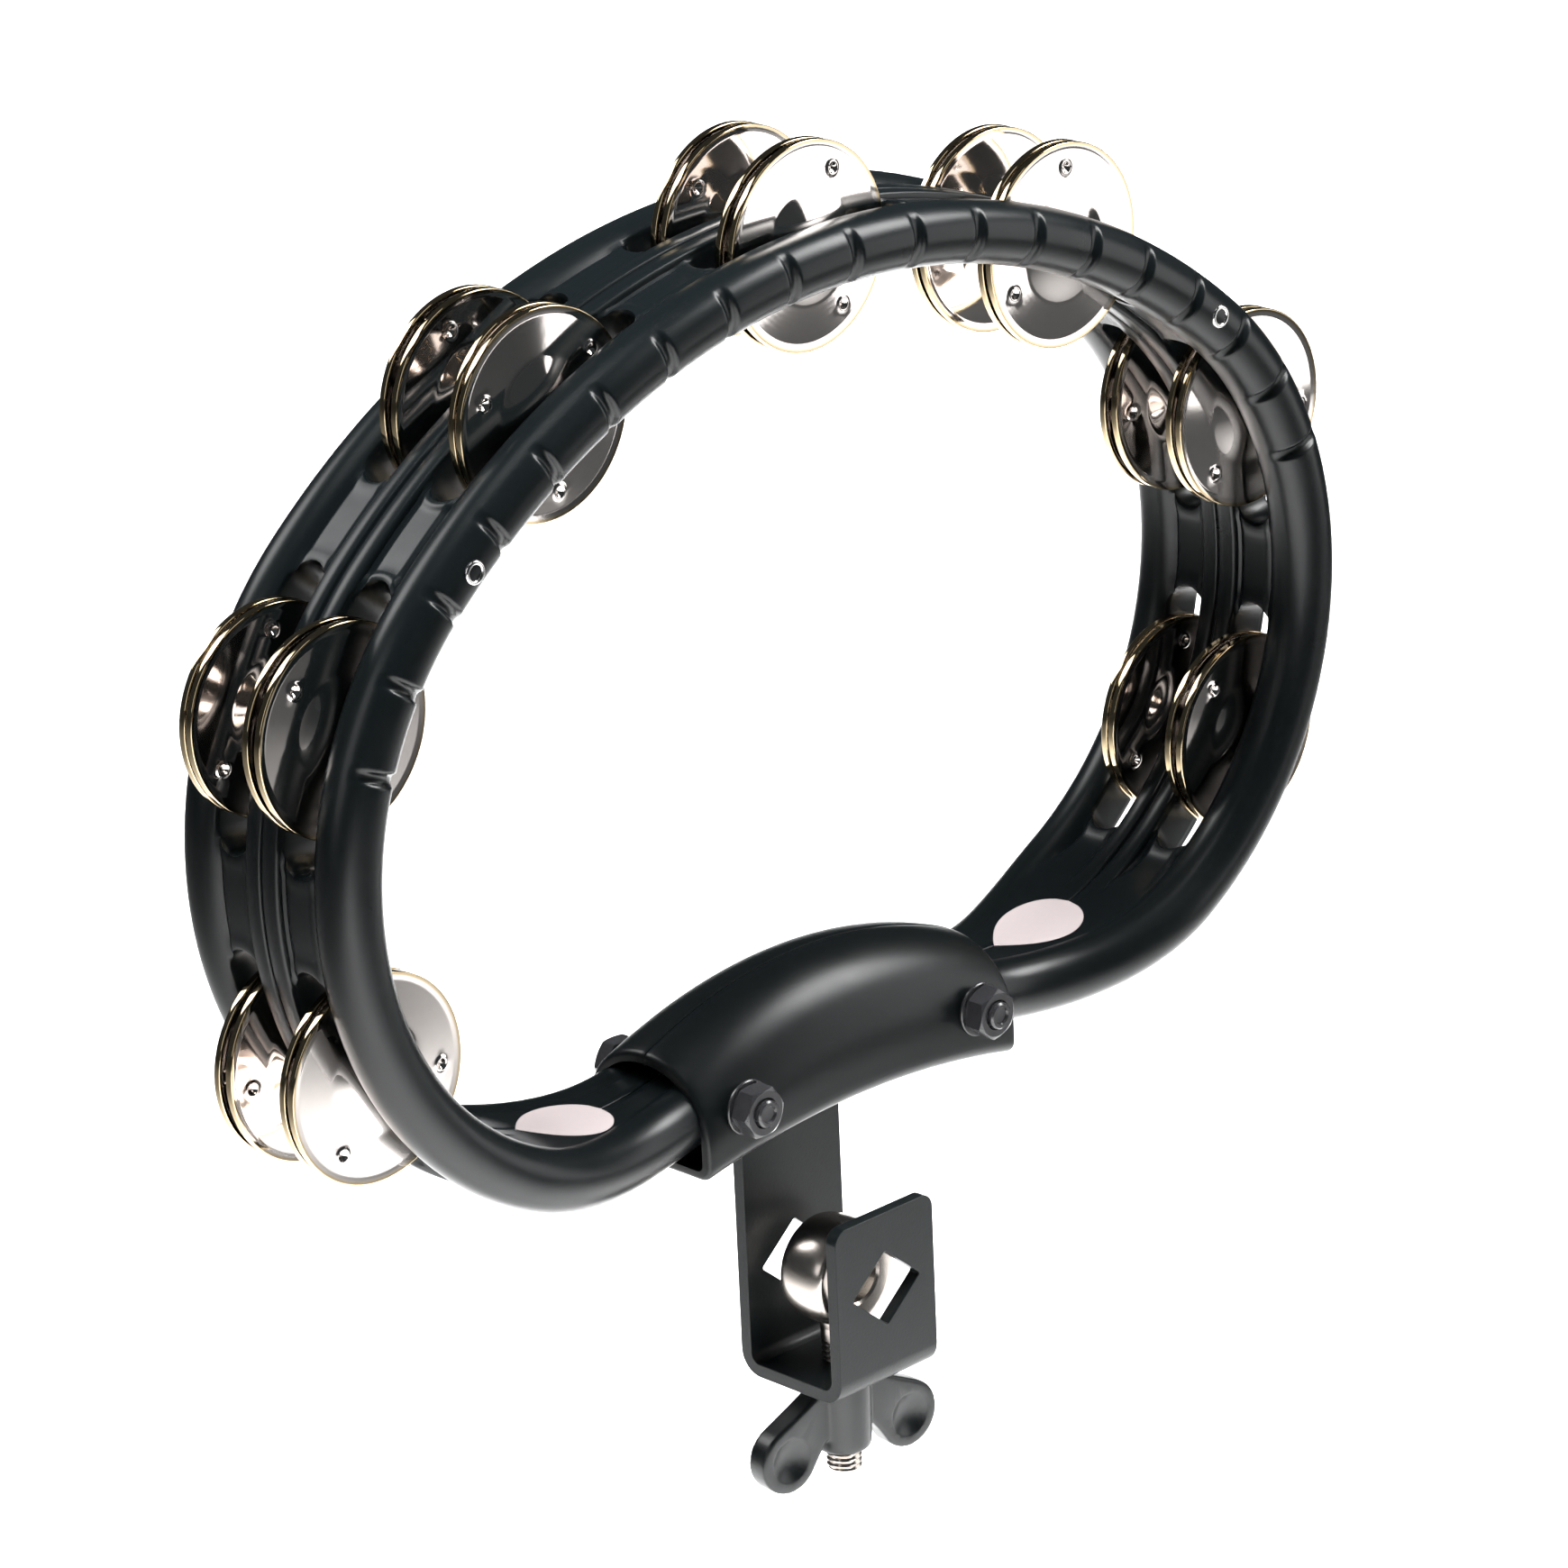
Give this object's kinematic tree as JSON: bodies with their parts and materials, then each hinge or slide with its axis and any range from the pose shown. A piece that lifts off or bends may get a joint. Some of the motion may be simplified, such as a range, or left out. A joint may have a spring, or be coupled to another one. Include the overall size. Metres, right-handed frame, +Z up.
{
  "type": "mountable tambourine",
  "caption": "Kidney-shaped hoop tambourine with rows of nickel jingle discs, a bolted grip, and a bracket with eye bolt and wing nut that clamps a stand rod.",
  "frame": {"origin": "centre of the eye that holds the stand rod", "axes": "+Y along the rod towards the back, +Z up towards the top of the hoop, +X to the right seen from the front"},
  "size_m": [0.3106, 0.0534, 0.3],
  "materials": {
    "frame_plastic": "satin moulded black",
    "cover_plastic": "satin moulded black",
    "bracket_coat": "satin black powder coat on steel",
    "wing_nut_coat": "black coated zinc",
    "black_fasteners": "blackened steel",
    "pin_steel": "dark steel",
    "rivet_steel": "bright steel",
    "jingle_nickel": "bright nickel plate on steel",
    "eye_nickel": "bright nickel plate",
    "label": "pale printed film, left blank"
  },
  "bodies": {
    "tambourine": {"frame_front_half": "frame_plastic", "frame_rear_half": "frame_plastic", "frame_rivets": "rivet_steel", "jingle_pins": "pin_steel", "grip_cover_front": "cover_plastic", "grip_cover_rear": "cover_plastic", "clamp_bracket": "bracket_coat", "cover_bolts": "black_fasteners", "bolt_washers": "black_fasteners", "cover_nuts": "black_fasteners", "stickers": "label"},
    "clamp_eye": {"eye_bolt": "eye_nickel"},
    "clamp_nut": {"wing_nut": "wing_nut_coat"},
    "jingle_1_front_outer": {"jingle_1_front_outer": "jingle_nickel"},
    "jingle_1_front_inner": {"jingle_1_front_inner": "jingle_nickel"},
    "jingle_1_rear_outer": {"jingle_1_rear_outer": "jingle_nickel"},
    "jingle_1_rear_inner": {"jingle_1_rear_inner": "jingle_nickel"},
    "jingle_2_front_outer": {"jingle_2_front_outer": "jingle_nickel"},
    "jingle_2_front_inner": {"jingle_2_front_inner": "jingle_nickel"},
    "jingle_2_rear_outer": {"jingle_2_rear_outer": "jingle_nickel"},
    "jingle_2_rear_inner": {"jingle_2_rear_inner": "jingle_nickel"},
    "jingle_3_front_outer": {"jingle_3_front_outer": "jingle_nickel"},
    "jingle_3_front_inner": {"jingle_3_front_inner": "jingle_nickel"},
    "jingle_3_rear_outer": {"jingle_3_rear_outer": "jingle_nickel"},
    "jingle_3_rear_inner": {"jingle_3_rear_inner": "jingle_nickel"},
    "jingle_4_front_outer": {"jingle_4_front_outer": "jingle_nickel"},
    "jingle_4_front_inner": {"jingle_4_front_inner": "jingle_nickel"},
    "jingle_4_rear_outer": {"jingle_4_rear_outer": "jingle_nickel"},
    "jingle_4_rear_inner": {"jingle_4_rear_inner": "jingle_nickel"},
    "jingle_5_front_outer": {"jingle_5_front_outer": "jingle_nickel"},
    "jingle_5_front_inner": {"jingle_5_front_inner": "jingle_nickel"},
    "jingle_5_rear_outer": {"jingle_5_rear_outer": "jingle_nickel"},
    "jingle_5_rear_inner": {"jingle_5_rear_inner": "jingle_nickel"},
    "jingle_6_front_outer": {"jingle_6_front_outer": "jingle_nickel"},
    "jingle_6_front_inner": {"jingle_6_front_inner": "jingle_nickel"},
    "jingle_6_rear_outer": {"jingle_6_rear_outer": "jingle_nickel"},
    "jingle_6_rear_inner": {"jingle_6_rear_inner": "jingle_nickel"},
    "jingle_7_front_outer": {"jingle_7_front_outer": "jingle_nickel"},
    "jingle_7_front_inner": {"jingle_7_front_inner": "jingle_nickel"},
    "jingle_7_rear_outer": {"jingle_7_rear_outer": "jingle_nickel"},
    "jingle_7_rear_inner": {"jingle_7_rear_inner": "jingle_nickel"}
  },
  "joints": [
    {"name": "wing_nut_turn", "type": "hinge", "parent": "tambourine", "child": "clamp_nut", "pos_m": [0, 0, -0.033], "axis": [0, 0, 1], "range_deg": [-1440, 720]},
    {"name": "eye_draw", "type": "slide", "parent": "tambourine", "child": "clamp_eye", "axis": [0, 0, 1], "range_m": [-0.0026, 0.0051]},
    {"name": "jingle_1_front_outer_spin", "type": "hinge", "parent": "tambourine", "child": "jingle_1_front_outer", "pos_m": [0.13006, 0.0072, 0.08774], "axis": [0, 1, 0], "continuous": true},
    {"name": "jingle_1_front_inner_spin", "type": "hinge", "parent": "tambourine", "child": "jingle_1_front_inner", "pos_m": [0.13006, 0.0072, 0.08774], "axis": [0, 1, 0], "continuous": true},
    {"name": "jingle_1_rear_outer_spin", "type": "hinge", "parent": "tambourine", "child": "jingle_1_rear_outer", "pos_m": [0.13006, 0.0072, 0.08774], "axis": [0, 1, 0], "continuous": true},
    {"name": "jingle_1_rear_inner_spin", "type": "hinge", "parent": "tambourine", "child": "jingle_1_rear_inner", "pos_m": [0.13006, 0.0072, 0.08774], "axis": [0, 1, 0], "continuous": true},
    {"name": "jingle_2_front_outer_spin", "type": "hinge", "parent": "tambourine", "child": "jingle_2_front_outer", "pos_m": [0.13304, 0.0072, 0.16255], "axis": [0, 1, 0], "continuous": true},
    {"name": "jingle_2_front_inner_spin", "type": "hinge", "parent": "tambourine", "child": "jingle_2_front_inner", "pos_m": [0.13304, 0.0072, 0.16255], "axis": [0, 1, 0], "continuous": true},
    {"name": "jingle_2_rear_outer_spin", "type": "hinge", "parent": "tambourine", "child": "jingle_2_rear_outer", "pos_m": [0.13304, 0.0072, 0.16255], "axis": [0, 1, 0], "continuous": true},
    {"name": "jingle_2_rear_inner_spin", "type": "hinge", "parent": "tambourine", "child": "jingle_2_rear_inner", "pos_m": [0.13304, 0.0072, 0.16255], "axis": [0, 1, 0], "continuous": true},
    {"name": "jingle_3_front_outer_spin", "type": "hinge", "parent": "tambourine", "child": "jingle_3_front_outer", "pos_m": [0.07538, 0.0072, 0.21301], "axis": [0, 1, 0], "continuous": true},
    {"name": "jingle_3_front_inner_spin", "type": "hinge", "parent": "tambourine", "child": "jingle_3_front_inner", "pos_m": [0.07538, 0.0072, 0.21301], "axis": [0, 1, 0], "continuous": true},
    {"name": "jingle_3_rear_outer_spin", "type": "hinge", "parent": "tambourine", "child": "jingle_3_rear_outer", "pos_m": [0.07538, 0.0072, 0.21301], "axis": [0, 1, 0], "continuous": true},
    {"name": "jingle_3_rear_inner_spin", "type": "hinge", "parent": "tambourine", "child": "jingle_3_rear_inner", "pos_m": [0.07538, 0.0072, 0.21301], "axis": [0, 1, 0], "continuous": true},
    {"name": "jingle_4_front_outer_spin", "type": "hinge", "parent": "tambourine", "child": "jingle_4_front_outer", "pos_m": [0, 0.0072, 0.2303], "axis": [0, 1, 0], "continuous": true},
    {"name": "jingle_4_front_inner_spin", "type": "hinge", "parent": "tambourine", "child": "jingle_4_front_inner", "pos_m": [0, 0.0072, 0.2303], "axis": [0, 1, 0], "continuous": true},
    {"name": "jingle_4_rear_outer_spin", "type": "hinge", "parent": "tambourine", "child": "jingle_4_rear_outer", "pos_m": [0, 0.0072, 0.2303], "axis": [0, 1, 0], "continuous": true},
    {"name": "jingle_4_rear_inner_spin", "type": "hinge", "parent": "tambourine", "child": "jingle_4_rear_inner", "pos_m": [0, 0.0072, 0.2303], "axis": [0, 1, 0], "continuous": true},
    {"name": "jingle_5_front_outer_spin", "type": "hinge", "parent": "tambourine", "child": "jingle_5_front_outer", "pos_m": [-0.07538, 0.0072, 0.21301], "axis": [0, 1, 0], "continuous": true},
    {"name": "jingle_5_front_inner_spin", "type": "hinge", "parent": "tambourine", "child": "jingle_5_front_inner", "pos_m": [-0.07538, 0.0072, 0.21301], "axis": [0, 1, 0], "continuous": true},
    {"name": "jingle_5_rear_outer_spin", "type": "hinge", "parent": "tambourine", "child": "jingle_5_rear_outer", "pos_m": [-0.07538, 0.0072, 0.21301], "axis": [0, 1, 0], "continuous": true},
    {"name": "jingle_5_rear_inner_spin", "type": "hinge", "parent": "tambourine", "child": "jingle_5_rear_inner", "pos_m": [-0.07538, 0.0072, 0.21301], "axis": [0, 1, 0], "continuous": true},
    {"name": "jingle_6_front_outer_spin", "type": "hinge", "parent": "tambourine", "child": "jingle_6_front_outer", "pos_m": [-0.13304, 0.0072, 0.16255], "axis": [0, 1, 0], "continuous": true},
    {"name": "jingle_6_front_inner_spin", "type": "hinge", "parent": "tambourine", "child": "jingle_6_front_inner", "pos_m": [-0.13304, 0.0072, 0.16255], "axis": [0, 1, 0], "continuous": true},
    {"name": "jingle_6_rear_outer_spin", "type": "hinge", "parent": "tambourine", "child": "jingle_6_rear_outer", "pos_m": [-0.13304, 0.0072, 0.16255], "axis": [0, 1, 0], "continuous": true},
    {"name": "jingle_6_rear_inner_spin", "type": "hinge", "parent": "tambourine", "child": "jingle_6_rear_inner", "pos_m": [-0.13304, 0.0072, 0.16255], "axis": [0, 1, 0], "continuous": true},
    {"name": "jingle_7_front_outer_spin", "type": "hinge", "parent": "tambourine", "child": "jingle_7_front_outer", "pos_m": [-0.13006, 0.0072, 0.08774], "axis": [0, 1, 0], "continuous": true},
    {"name": "jingle_7_front_inner_spin", "type": "hinge", "parent": "tambourine", "child": "jingle_7_front_inner", "pos_m": [-0.13006, 0.0072, 0.08774], "axis": [0, 1, 0], "continuous": true},
    {"name": "jingle_7_rear_outer_spin", "type": "hinge", "parent": "tambourine", "child": "jingle_7_rear_outer", "pos_m": [-0.13006, 0.0072, 0.08774], "axis": [0, 1, 0], "continuous": true},
    {"name": "jingle_7_rear_inner_spin", "type": "hinge", "parent": "tambourine", "child": "jingle_7_rear_inner", "pos_m": [-0.13006, 0.0072, 0.08774], "axis": [0, 1, 0], "continuous": true}
  ],
  "couplings": [
    {"joint": "eye_draw", "follows": "wing_nut_turn", "m_per_rad": -0.00019894}
  ]
}
